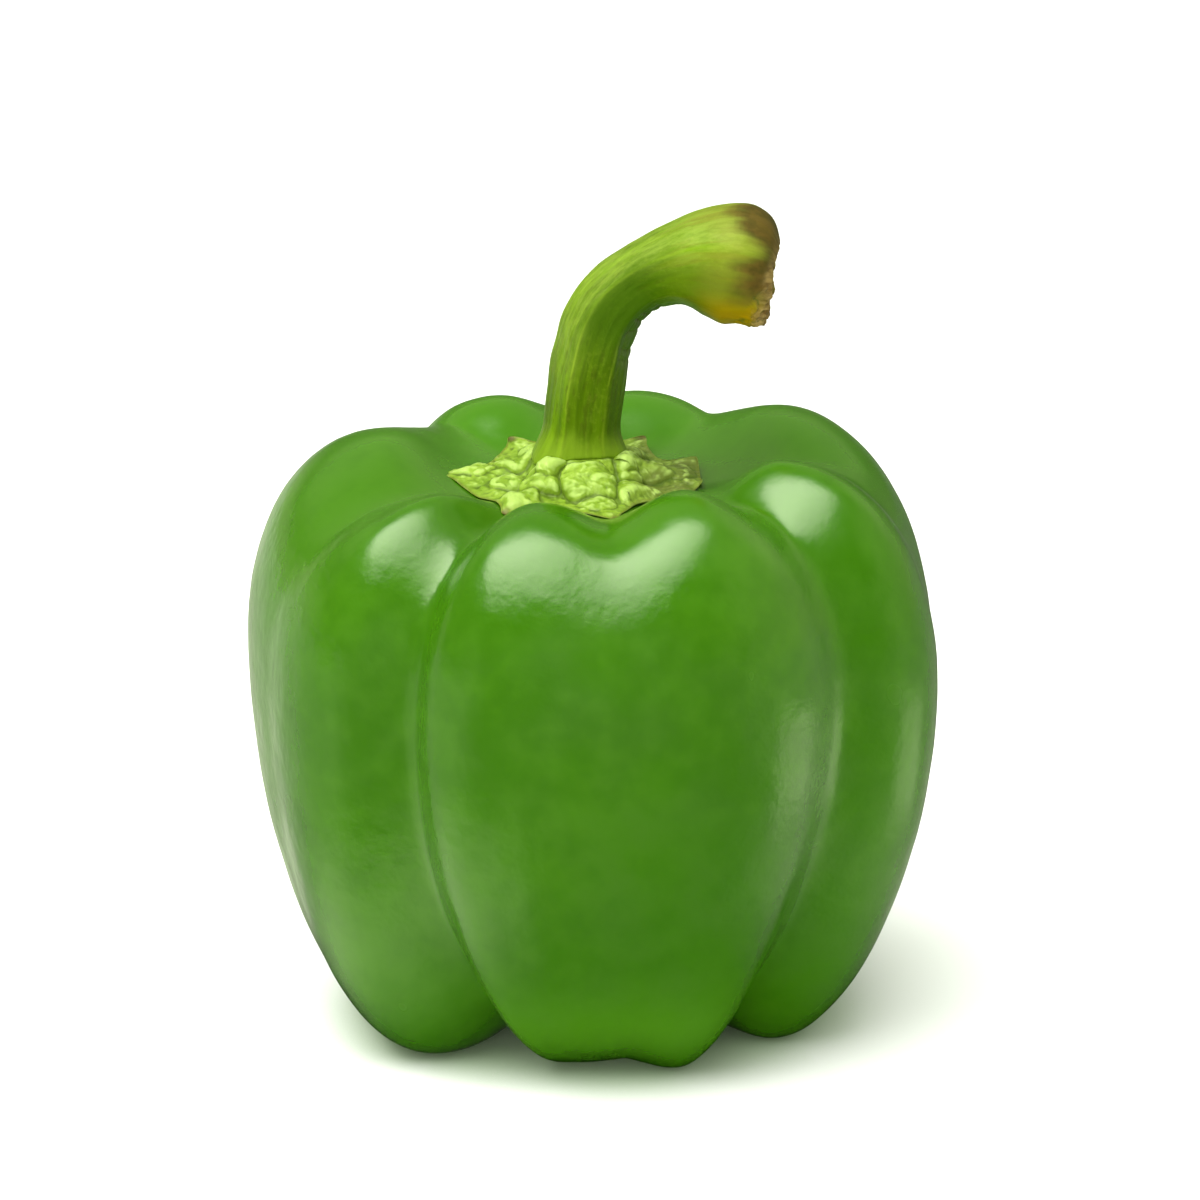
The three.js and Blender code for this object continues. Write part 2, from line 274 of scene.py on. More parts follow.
def colour(r, g, b):
    """A node colour from the values that a picture shows, 0 to 255."""
    shown = (c / 255 for c in (r, g, b))
    light = [c / 12.92 if c <= 0.04045 else ((c + 0.055) / 1.055) ** 2.4 for c in shown]
    return (*light, 1.0)


def new_material(name):
    material = bpy.data.materials.new(name)
    material.use_nodes = True
    shader = next(n for n in material.node_tree.nodes if n.type == "BSDF_PRINCIPLED")
    return material, Finish(material.node_tree), shader


def mottling():
    """A node group: two colours in soft patches with finer flecks of the second."""
    group = bpy.data.node_groups.new("mottling", "ShaderNodeTree")
    inputs = {
        "Where": "NodeSocketVector",
        "Main": "NodeSocketColor",
        "Patches": "NodeSocketColor",
        "Patch scale": "NodeSocketFloat",
        "Fleck scale": "NodeSocketFloat",
        "Amount": "NodeSocketFloat",
    }
    for name, kind in inputs.items():
        group.interface.new_socket(name, in_out="INPUT", socket_type=kind)
    group.interface.new_socket("Colour", in_out="OUTPUT", socket_type="NodeSocketColor")
    inside = Finish(group)
    given = group.nodes.new("NodeGroupInput").outputs
    patch_weight, fleck_weight = 0.55, 0.45
    patches = inside.noise(given["Where"], given["Patch scale"], detail=3.0)
    flecks = inside.noise(given["Where"], given["Fleck scale"])
    share = inside.sums("MULTIPLY_ADD", flecks, fleck_weight, inside.times(patches, patch_weight))
    mask = inside.times(inside.band(share, 0.38, 0.62), given["Amount"])
    out = group.nodes.new("NodeGroupOutput")
    inside.fill(out.inputs["Colour"], inside.blend(mask, given["Main"], given["Patches"]))
    return group


MOTTLING = mottling()


def mottled(finish, where, main, patches, patch_scale, fleck_scale, amount=1.0):
    made = finish.tree.nodes.new("ShaderNodeGroup")
    made.node_tree = MOTTLING
    values = {
        "Where": where,
        "Main": main,
        "Patches": patches,
        "Patch scale": patch_scale,
        "Fleck scale": fleck_scale,
        "Amount": amount,
    }
    finish.fill_all(made, values)
    return made.outputs["Colour"]


# Fruit
# The skin's soft unevenness: the size of its lumps, and how much they rise and sink.
UNEVENNESS = ((16 * MM, 0.5 * MM), (5 * MM, 0.12 * MM))

# The groove at the front left is softened to a fold: its bearing, the degrees to its
# sides where that starts to fade and has faded, and the heights where it comes and goes.
FOLD_BEARING = -31
FOLD_SIDES = (7, 14)
FOLD_START = (14 * MM, 26 * MM)
FOLD_END = (62 * MM, 70 * MM)
FOLD_ROUNDS = 40
CREASE_ROUNDS = 24

SKIN = {
    "main": colour(43, 88, 2),
    "patches": colour(50, 96, 4),
    "deep": colour(38, 84, 2),
    # Painted light: the tops of the rear lobes are lighter, as where the light falls on them.
    "shoulder_painted_light": colour(58, 112, 8),
    # Painted bounce light: the front lobe is paler low down, as if lit from the floor.
    "belly": colour(64, 114, 14),
}


def make_fruit():
    fruit = skin_of("fruit", "pepper_fruit")
    refine(fruit, 2)
    for size, depth in UNEVENNESS:
        swell(fruit, size, depth)
    points = points_of(fruit)
    height = points[:, 2]
    off = np.abs(np.degrees(np.arctan2(points[:, 0], -points[:, 1])) - FOLD_BEARING)
    fold = ease(-off, -FOLD_SIDES[1], -FOLD_SIDES[0]) * ease(height, *FOLD_START)
    fold *= 1 - ease(height, *FOLD_END)
    points += (smoothed(fruit, FOLD_ROUNDS) - points) * fold[:, None]
    points[:, 2] = np.maximum(points[:, 2], 0)  # no lump sinks into the floor
    move_points(fruit, points)
    note(fruit, "crease", ease(hollows(fruit, CREASE_ROUNDS), 0.0, 0.12))
    return fruit


def skin_colour(finish, where):
    """Mottled green with wide deeper patches, painted light that makes the tops of the rear
    lobes lighter, and painted bounce light low down on the front lobe."""
    _, back, height = finish.split(where)
    green = mottled(
        finish, where, SKIN["main"], SKIN["patches"], patch_scale=42.0, fleck_scale=260.0
    )
    deep = finish.band(finish.noise(where, 16.0, detail=1.0), 0.42, 0.66, end=0.5)
    rear = finish.band(back, -8 * MM, 12 * MM, start=0.1, end=0.6)
    front = finish.band(back, -22 * MM, -32 * MM)
    coats = [
        (deep, SKIN["deep"]),
        # painted light on the tops of the rear lobes
        (finish.times(finish.band(height, 56 * MM, 74 * MM), rear), SKIN["shoulder_painted_light"]),
        # painted bounce light low on the front lobe
        (finish.times(finish.band(height, 20 * MM, 6 * MM, end=0.75), front), SKIN["belly"]),
    ]
    return finish.painted(green, coats)


def skin_relief(finish, where):
    """Dimples that fade towards the shoulder, puckers low in the creases at the right,
    fine streaks up and down, and pores."""
    across, _, height = finish.split(where)
    dimpled = finish.band(height, 66 * MM, 74 * MM, start=0.5, end=0.15)
    low = finish.band(height, 55 * MM, 64 * MM, start=0.04, end=0.0)
    low_right = finish.times(low, finish.band(across, 0, 8 * MM))
    puckered = finish.times(finish.kept("crease"), low_right)
    layers = [
        (finish.noise(where, 230.0, detail=3.0), dimpled, 0.3 * MM),
        (finish.noise(where, 480.0), dimpled, 0.14 * MM),
        (finish.noise(finish.stretched(where, 0.18), 420.0), puckered, 0.4 * MM),
        (finish.noise(finish.stretched(where, 0.3), 700.0), 0.1, 0.1 * MM),
        (finish.noise(where, 1500.0), 0.25, 0.05 * MM),
    ]
    return finish.relief(layers)


def fruit_skin():
    material, finish, shader = new_material("waxy green skin")
    where = finish.place()
    shader.inputs["Base Color"].default_value = SKIN["main"]
    values = {
        "Base Color": skin_colour(finish, where),
        "Roughness": finish.band(finish.noise(where, 130.0), 0.2, 0.8, start=0.16, end=0.28),
        "Normal": skin_relief(finish, where),
        "Specular IOR Level": 0.75,
        "Specular Tint": (0.88, 1.0, 0.68, 1),
        "Subsurface Weight": 0.06,
        "Subsurface Radius": (0.6, 1.0, 0.2),
        "Subsurface Scale": 1.5 * MM,
    }
    finish.fill_all(shader, values)
    return material


# Where the stem stands, which the calyx is laid out round too, and the middle of its
# section from its foot to the scar, as in the part's own source (right, back and up,
# the line in millimetres).
STEM_FOOT = Vector((-1.27, 0.09, 76.6)) * MM
STEM_LINE = [
    (-2, 0, 76.6),
    (-1.9, 0, 78.6),
    (-1.7, 0, 81.5),
    (-1, 0, 87),
    (0.4, 0, 92.6),
    (2.4, 0, 96.2),
    (5.5, 0, 98.8),
    (9.1, -1, 100.6),
    (13.3, -2, 101.8),
    (17.7, -3, 101.7),
    (19.8, -3.5, 101.2),
    (21.4, -3.8, 100.5),
    (22.4, -4.1, 99.4),
]
FIRST_RIB = -27.0  # the bearing of one of the stem's ribs
RIBS = 6


# Calyx
# The main lumps of the calyx, in millimetres from the stem's foot: right, back, radius
# and height. The small ones lie between them at random.
MAIN_LUMPS = [
    (-3.9, -6.1, 1.9, 2.3),
    (-3.9, -7.9, 1.7, 1.7),
    (5.4, -3.4, 1.8, 2.0),
    (6.3, -4.8, 1.6, 1.2),
    (1.2, -8.4, 3.7, 1.7),
    (-4.9, -7.0, 2.8, 1.5),
    (-7.6, -11.2, 2.8, 0.9),
    (2.6, -13.2, 2.6, 0.8),
    (7.4, -8.6, 3.1, 1.1),
    (8.6, -1.4, 3.2, 1.4),
    (12.4, 0.2, 2.9, 0.9),
    (6.0, 6.6, 3.0, 1.2),
    (-5.0, 7.4, 3.0, 1.3),
    (-8.6, 1.0, 3.0, 1.4),
    (-13.4, 0.4, 3.0, 0.9),
    (-9.0, -5.4, 2.6, 1.1),
]
SMALL_LUMPS = 60
SMALL_LUMPS_AWAY = (8, 16.5)  # nearest and furthest from the stem's foot, in millimetres
SMALL_LUMP_RADII = (0.9, 1.9)
SMALL_LUMP_SHAPE = 0.42  # its height for its radius
SMALL_LUMPS_KEPT = 0.45  # the share of that height which the small lumps keep
LUMPS_SUNK = 0.25  # how far all of them are sunk, in millimetres
LUMPS_AT_EDGE = 0.3  # the share of their height that is left at the calyx's edge
LUMP_BEND = 1.1  # how far the lumps' outlines wander, in millimetres
LUMPS_START = (5.3 * MM, 6.1 * MM)  # away from the stem's foot
LUMP_HOLLOW_ROUNDS = 30
GRIT = ((0.9 * MM, 3, 0.14), (0.45 * MM, 9, 0.06))  # size, seed, height in millimetres

# The calyx's edge lies down on the fruit: how far inside it the two are measured, the
# heights to look from, the gap left, and the most that it may rise and drop.
EDGE_INSET = 0.35 * MM
BELOW_CALYX, ABOVE_FRUIT = 0.05, 0.1
UP, DOWN = 1, -1
EDGE_GAP = 0.1 * MM
EDGE_MOVES = (-0.5 * MM, 0.8 * MM)
EDGE_STRIP = (8.5 * MM, 12 * MM)  # away from the stem's foot, where that starts
THIN_STRIP = 2.2 * MM
THINNED = 0.55  # the share of its thickness that it loses at the edge

# Its points are drawn out: their bearings, half their width, how far in that starts, and
# how far out it goes.
TIPS = (13, 57, 150, 214, 278, 327)
TIP_WIDTH = 0.9 * MM
TIP_DEPTH = 3 * MM
TIP_REACH = 1.2 * MM

CALYX = {
    "main": colour(122, 150, 42),
    "patches": colour(98, 128, 20),
    "greyish_patches": colour(88, 98, 40),
    # Painted shade: the hollows between the lumps are darker.
    "hollows": colour(62, 86, 10),
    # Painted highlight: the tops of the lumps are paler.
    "ridge_highlight": colour(156, 182, 90),
    "rim": colour(84, 92, 18),
    "dry": colour(70, 52, 20),
}


def surface_of(piece):
    """The piece's surface, for finding where a line meets it."""
    faces = [tuple(face.vertices) for face in piece.data.polygons]
    return BVHTree.FromPolygons([v.co for v in piece.data.vertices], faces)


def heights_over(surface, points, start, way):
    """Where a vertical line through each point first meets a surface."""
    found = [surface.ray_cast((x, y, start), (0, 0, way))[0] for x, y, _ in points]
    return np.array([np.nan if place is None else place.z for place in found])


def domes(across, deep, lumps):
    """Round lumps (right, back, radius, height) with creases where they meet."""
    height = np.zeros(len(across))
    for x, y, radius, top in lumps:
        near = 1 - ((across - x) ** 2 + (deep - y) ** 2) / radius**2
        height = np.maximum(height, top * np.sqrt(np.clip(near, 0, 1)))
    return height


def small_lumps():
    """The calyx's small lumps, at random places round the stem's foot."""
    draw = np.random.default_rng(21)
    turns = draw.uniform(0, 2 * math.pi, SMALL_LUMPS)
    away = draw.uniform(*SMALL_LUMPS_AWAY, SMALL_LUMPS)
    radii = draw.uniform(*SMALL_LUMP_RADII, SMALL_LUMPS)
    right, back = away * np.sin(turns), away * np.cos(turns)
    return np.stack([right, back, radii, SMALL_LUMP_SHAPE * radii], axis=1)


def round_foot(points):
    """For each point of the calyx, seen from the stem's foot: how far right and back it
    lies, how far away, at what bearing, and how far the calyx reaches there."""
    across, deep = points[:, 0] - STEM_FOOT.x, points[:, 1] - STEM_FOOT.y
    reach = np.hypot(across, deep)
    bearing = np.degrees(np.arctan2(across, -deep))
    sector = np.floor(bearing).astype(int) % 360
    rim = np.zeros(360)
    np.maximum.at(rim, sector, reach)
    edge = np.minimum.reduce([rim[(sector + k) % 360] for k in (-1, 0, 1)])
    return SimpleNamespace(across=across, deep=deep, reach=reach, bearing=bearing, edge=edge)


def lie_down(points, calyx, fruit, at):
    """Lowers the calyx's edge onto the fruit, and thins it."""
    outwards = np.stack([at.across, at.deep, 0 * at.deep], axis=1)
    inner = points - outwards * (EDGE_INSET / at.reach)[:, None]
    under = heights_over(surface_of(calyx), inner, BELOW_CALYX, UP)
    skin = heights_over(surface_of(fruit), inner, ABOVE_FRUIT, DOWN)
    drop = np.clip(np.nan_to_num(under - skin) - EDGE_GAP, *EDGE_MOVES)
    thick = np.clip(points[:, 2] - under, 0, None)
    thin = ease(at.reach, at.edge - THIN_STRIP, at.edge) * THINNED
    points[:, 2] -= ease(at.reach, *EDGE_STRIP) * (drop + np.nan_to_num(thick * thin))


def draw_out(points, at):
    """Draws the calyx's points out, and says how much of a tip each vertex is."""
    off = np.min([np.abs(turn_from(at.bearing, tip)) for tip in TIPS], axis=0)
    tip = np.exp(-((np.radians(off) * at.reach / TIP_WIDTH) ** 2))
    tip *= ease(at.reach, at.edge - TIP_DEPTH, at.edge)
    outwards = np.stack([at.across, at.deep], axis=1)
    points[:, :2] += outwards * (TIP_REACH * tip / at.reach)[:, None]
    return tip


def raise_lumps(points, normals, at):
    """Raises the calyx's lumps and grit on its upper side."""
    on_top = ease(normals[:, 2], 0.0, 0.4)
    inside = ease(at.edge - at.reach, 0.1 * MM, 2.2 * MM)
    bent = np.stack([ripple(points, 3.2 * MM, k) for k in (11, 12)]) * LUMP_BEND
    right, back = at.across / MM + bent[0], at.deep / MM + bent[1]
    lumps = domes(right, back, MAIN_LUMPS)
    lumps += SMALL_LUMPS_KEPT * domes(right, back, small_lumps())
    lumps = (LUMPS_AT_EDGE + (1 - LUMPS_AT_EDGE) * inside) * (lumps - LUMPS_SUNK)
    grit = sum(height * ripple(points, size, seed) for size, seed, height in GRIT)
    rise = ease(at.reach, *LUMPS_START) * (lumps + grit)
    points += normals * (rise * on_top * MM)[:, None]


def make_calyx(fruit):
    calyx = skin_of("calyx", "pepper_calyx")
    refine(calyx, 3)
    points = points_of(calyx)
    at = round_foot(points)
    lie_down(points, calyx, fruit, at)
    tip = draw_out(points, at)
    move_points(calyx, points)
    raise_lumps(points, normals_of(calyx), at)
    move_points(calyx, points)
    note(calyx, "hollow", ease(hollows(calyx, LUMP_HOLLOW_ROUNDS), -0.16, 0.16))
    note(calyx, "rim", 1 - ease(at.edge - at.reach, 0.0, 0.5 * MM))
    note(calyx, "dry", 0.8 * ease(tip, 0.6, 1.0))
    return calyx


def calyx_green():
    material, finish, shader = new_material("lumpy calyx green")
    where = finish.place()
    green = mottled(
        finish, where, CALYX["main"], CALYX["patches"], patch_scale=260.0, fleck_scale=1100.0
    )
    hollow = finish.kept("hollow")
    at_right = finish.band(finish.split(where)[0], 3.0 * MM, 8.0 * MM, end=0.9)
    greyish_patches = finish.band(finish.noise(where, 150.0), 0.35, 0.6, start=0.35)
    coats = [
        # greyer, browner patches towards the right side
        (finish.times(at_right, greyish_patches), CALYX["greyish_patches"]),
        # painted shade in the hollows between the lumps
        (finish.band(hollow, 0.5, 0.95, end=0.8), CALYX["hollows"]),
        # painted highlight on the tops of the lumps
        (finish.band(hollow, 0.42, 0.08, end=0.7), CALYX["ridge_highlight"]),
        (finish.times(finish.kept("rim"), 0.7), CALYX["rim"]),
        (finish.kept("dry"), CALYX["dry"]),
    ]
    layers = [
        (finish.noise(where, 900.0, detail=3.0), 0.5, 0.25 * MM),
        (finish.cells(where, 2200.0), 0.35, 0.08 * MM),
    ]
    values = {
        "Base Color": finish.painted(green, coats),
        "Normal": finish.relief(layers),
        "Roughness": finish.band(finish.noise(where, 500.0), 0.3, 0.7, start=0.38, end=0.55),
        "Specular IOR Level": 0.45,
        "Specular Tint": (0.9, 1.0, 0.5, 1),
        "Subsurface Weight": 0.08,
        "Subsurface Radius": (0.8, 1.0, 0.2),
        "Subsurface Scale": 0.8 * MM,
    }
    finish.fill_all(shader, values)
    return material


# Stem. Its bearings run round it, from its front towards the inside of its bend, and
# places along it run from 0 at its foot to 1 at the scar.
STEM_LENGTH = 40.0 * MM
STEM_RADIUS = 5 * MM
INSIDE = 90  # the bearing of the inside of the bend
LINE_STEPS = 12  # between two points of the stem's line
LINE_ROUNDS = 30  # of smoothing it

WAVES = (4 * MM, 6, 0.22)  # size, seed, height in millimetres
FIBRES = (0.75 * MM, 5, 0.09)
FIBRE_LENGTH = 0.1  # what a length along the stem counts for in them
CREASE_EVERY = 0.75 * MM
CREASE_DEPTH = 0.3
CREASE_WANDER = 2.2
RIM = (0.955, 0.985)  # where the side of the head turns into the scar
TORN = 0.6  # how far the scar's fibres stand out and in, in millimetres
CORE_RADII = (3.6 * MM, 5.4 * MM)
CORE_SUNK = 1.1  # millimetres
HEAD_FILL = 0.8 * MM  # how much fuller the head is below
SCAR_TURN = 9  # degrees that the scar is turned away from the front
SCAR_SLANT = 0.13  # how far it leans out below, for its height
SCAR_RADIUS = 5 * MM
FOOT_FLARE = 0.02  # the share by which the foot is wider
FOOT_SUNK = 0.5 * MM
# Where the foot runs out into the calyx, at the front left and at the right: the bearing,
# half the width in degrees, and how far in millimetres.
ROOTS = ((-55, 30, 1.9), (72, 20, 1.6))
ROOT_SUNK = 1.1  # millimetres
STEM_HOLLOW_ROUNDS = 20

STEM = {
    "main": colour(84, 116, 0),
    "patches": colour(60, 88, 0),
    "shady": colour(54, 78, 0),
    "ribs": colour(126, 146, 36),
    "specks": colour(54, 66, 4),
    "worn": colour(122, 142, 36),
    "head": colour(104, 136, 2),
    # Painted sheen: pale silky streaks where the stem's gloss catches the light.
    "pale": colour(154, 174, 72),
    # Olive: partly the stem's own colour, partly painted shade under the head.
    "olive": colour(66, 82, 0),
    "ripe": colour(138, 108, 0),
    # Painted shade inside the bend.
    "inner": colour(44, 76, 0),
    "root": colour(106, 134, 26),
    "tan": colour(110, 98, 34),
    "streaks": colour(96, 84, 20),
    "russet": colour(72, 50, 18),
    "russet patches": colour(44, 28, 8),
    "cork": colour(138, 116, 68),
    "cork patches": colour(84, 62, 30),
    "core": colour(62, 46, 22),
    # Painted shade in the stem's hollows.
    "hollows": colour(54, 66, 6),
}


def stem_line():
    """The stem's middle line in fine, smooth steps, and its heading at each."""
    line = np.array(STEM_LINE) * MM
    line += np.array(STEM_FOOT) - line[0]
    fine = [line[0]]
    for a, b in zip(line[:-1], line[1:]):
        fine += [a + (b - a) * share for share in np.linspace(0, 1, LINE_STEPS + 1)[1:]]
    fine = np.array(fine)
    for _ in range(LINE_ROUNDS):
        fine[1:-1] = (fine[:-2] + 2 * fine[1:-1] + fine[2:]) / 4
    heading = np.gradient(fine, axis=0)
    return fine, heading / np.linalg.norm(heading, axis=1)[:, None]


def along_stem(points):
    """For each point of the stem: how far along it lies, its bearing, its distance from
    the stem's middle line, the stem's heading there, and its place on a straight stem."""
    fine, headings = stem_line()
    steps = np.linalg.norm(np.diff(fine, axis=0), axis=1)
    lengths = np.concatenate([[0], np.cumsum(steps)])
    tree = KDTree(len(fine))
    for i, point in enumerate(fine):
        tree.insert(point, i)
    tree.balance()
    nearest = np.array([tree.find(point)[1] for point in points])
    heading = headings[nearest]
    away = points - fine[nearest]
    inward = np.cross((0, 1, 0), heading)
    inward /= np.linalg.norm(inward, axis=1)[:, None]
    front = np.cross(inward, heading)
    inwards, forwards = (away * inward).sum(1), (away * front).sum(1)
    along = (lengths[nearest] + (away * heading).sum(1)) / lengths[-1]
    out = np.hypot(inwards, forwards)
    bearing = np.degrees(np.arctan2(inwards, forwards))
    turned = np.radians(bearing)
    across, deep = STEM_RADIUS * np.sin(turned), -STEM_RADIUS * np.cos(turned)
    grain = np.stack([across, deep, along * STEM_LENGTH], axis=1)
    return SimpleNamespace(along=along, bearing=bearing, out=out, heading=heading, grain=grain)


def stem_relief(points, at):
    """How high the stem's soft waves and fibres rise and how deep the creases of its
    inner bend sink, in millimetres."""
    bend = ease(at.along, 0.22, 0.36) * (1 - ease(at.along, 0.55, 0.66))
    wander = CREASE_WANDER * ripple(at.grain, 2.5 * MM, 4)
    creases = np.abs(np.sin(at.grain[:, 2] / CREASE_EVERY + wander))
    size, seed, height = FIBRES
    fibres = ripple(at.grain * (1, 1, FIBRE_LENGTH), size, seed) * height
    size, seed, height = WAVES
    waves = ripple(points, size, seed) * height
    rise = waves + fibres * (1 - 0.6 * ease(at.along, 0.6, 0.75))
    inner = on_side(at.bearing, INSIDE, 0.55, 0.9)
    return rise - CREASE_DEPTH * inner * bend * (1 - creases) ** 2


def fill_head(points, normals, at):
    """Makes the head fuller below."""
    below = on_side(at.bearing, INSIDE, 0.2, 0.9)
    fuller = ease(at.along, 0.66, 0.78) * (1 - ease(at.along, 0.84, 0.94))
    points += normals * (HEAD_FILL * below * fuller)[:, None]


def turn_scar(points, at):
    """Turns the scar away from the front, and slants it out below."""
    cap = ease(at.along, 0.86, 0.98)
    middle = points[at.along > 0.97].mean(axis=0)
    spin = math.radians(SCAR_TURN) * cap
    x, y, _ = (points - middle).T
    points[:, 0] += x * (np.cos(spin) - 1) - y * np.sin(spin)
    points[:, 1] += x * np.sin(spin) + y * (np.cos(spin) - 1)
    below_top = np.clip(middle[2] + SCAR_RADIUS - points[:, 2], 0, None)
    points[:, 0] += SCAR_SLANT * cap * below_top


def spread_foot(points, flare, at):
    """Runs the foot out into the calyx."""
    spread = 1 - ease(at.along, 0.0, 0.1)
    outwards = flare / np.maximum(np.linalg.norm(flare, axis=1), MM)[:, None]
    for middle, width, reach in ROOTS:
        root = spread**2 * np.exp(-((turn_from(at.bearing, middle) / width) ** 2)) * MM
        points += outwards * (reach * root)[:, None]
        points[:, 2] -= ROOT_SUNK * root


def make_stem():
    stem = skin_of("stem", "pepper_stem")
    refine(stem, 2)
    points, normals = points_of(stem), normals_of(stem)
    at = along_stem(points)
    rise = stem_relief(points, at)
    torn = ripple(points, 1.1 * MM, 7) + 0.5 * ripple(points, 0.5 * MM, 8)
    rim = ease(at.along, *RIM)
    core = rim * (1 - ease(at.out, *CORE_RADII))
    points += normals * (rise * (1 - rim) * MM)[:, None]
    points += at.heading * (TORN * torn * rim * MM)[:, None]
    points -= at.heading * (CORE_SUNK * core * MM)[:, None]
    foot = 1 - ease(at.along, 0.0, 0.05)
    flare = points - np.array(STEM_FOOT)
    flare[:, 2] = 0
    points += flare * (foot * FOOT_FLARE)[:, None]
    fill_head(points, normals, at)
    turn_scar(points, at)
    points[:, 2] -= FOOT_SUNK * foot
    spread_foot(points, flare, at)
    move_points(stem, points)
    endways = np.abs(np.einsum("ij,ij->i", normals, at.heading))
    note(stem, "along", at.along)
    note(stem, "bearing", at.bearing)
    note(stem, "grain", at.grain)
    note(stem, "scar", ease(endways, 0.5, 0.85) * ease(at.along, 0.945, 0.97))
    note(stem, "core", core)
    note(stem, "hollow", ease(hollows(stem, STEM_HOLLOW_ROUNDS), -0.08, 0.1))
    return stem


def facing(finish, bearing, middle, low, high):
    """1 on the side of the stem with that middle bearing and 0 on the other. Low and high
    are cosines of the angle off the middle."""
    turned = finish.times(finish.sums("SUBTRACT", bearing, middle), math.pi / 180)
    return finish.band(finish.sums("COSINE", turned), low, high)


def shaft_coats(finish, grain, long, along, bearing):
    """The colours of the stem's shaft: shady right of a rib, worn pale along the ribs, dark
    specks, and pale where the skin is rubbed."""
    right_of_rib = finish.band(bearing, FIRST_RIB - 1, FIRST_RIB + 2)
    shady = finish.times(right_of_rib, finish.band(along, 0.9, 0.7))
    from_rib = finish.sums("PINGPONG", finish.sums("SUBTRACT", bearing, FIRST_RIB), 180.0 / RIBS)
    rib = finish.times(finish.band(from_rib, 3.2, 0.4), finish.band(along, 0.8, 0.6))
    rubbed = finish.band(finish.noise(long, 600.0), 0.35, 0.6, end=0.4)
    specks = finish.band(finish.noise(long, 1900.0, detail=3.0), 0.52, 0.68)
    worn = finish.band(finish.noise(grain, 1500.0, detail=4.0, roughness=0.7), 0.5, 0.66)
    return [
        (finish.times(shady, 0.55), STEM["shady"]),
        (finish.times(rib, rubbed), STEM["ribs"]),
        (finish.times(specks, 0.5), STEM["specks"]),
        (finish.times(worn, 0.14), STEM["worn"]),
    ]


def bend_coats(finish, long, head, along, bearing):
    """The colours of the bend and the head: a painted silky sheen outside the bend and on
    the top of the head, olive darkened as painted shade and ripe yellow under the head,
    painted shade inside the bend, and pale at the foot."""
    # A painted sheen: pale silky streaks outside the bend and on the top of the head.
    sheen_streaks = finish.noise(long, 1500.0, detail=4.0, roughness=0.65)
    sheen_streaks = finish.band(sheen_streaks, 0.3, 0.66, start=0.3)
    outside = finish.times(
        facing(finish, bearing, -85.0, 0.1, 0.7), finish.band(along, 0.1, 0.4)
    )
    crown_sheen = finish.times(head, facing(finish, bearing, -45.0, 0.6, 0.95))
    paler = finish.times(finish.sums("MAXIMUM", crown_sheen, outside), sheen_streaks)
    # Olive under the head, partly its own colour and partly painted shade.
    olive = finish.times(
        finish.band(along, 0.62, 0.8, end=0.7), facing(finish, bearing, 60.0, 0.1, 0.8)
    )
    ripe = finish.times(
        finish.band(along, 0.74, 0.9), facing(finish, bearing, 78.0, 0.4, 0.9)
    )
    # Painted shade inside the bend.
    inner = finish.times(
        facing(finish, bearing, 30.0, 0.2, 0.7),
        finish.band(along, 0.25, 0.42),
        finish.band(along, 0.74, 0.54),
    )
    root = finish.sums("MULTIPLY_ADD", finish.noise(long, 500.0, detail=3.0), 0.1, along)
    return [
        (finish.times(head, 0.3), STEM["head"]),
        (finish.times(paler, 0.26), STEM["pale"]),
        (olive, STEM["olive"]),
        (finish.times(ripe, 0.85), STEM["ripe"]),
        (finish.times(inner, 0.8), STEM["inner"]),
        (finish.band(root, 0.14, 0.05, end=0.7), STEM["root"]),
    ]


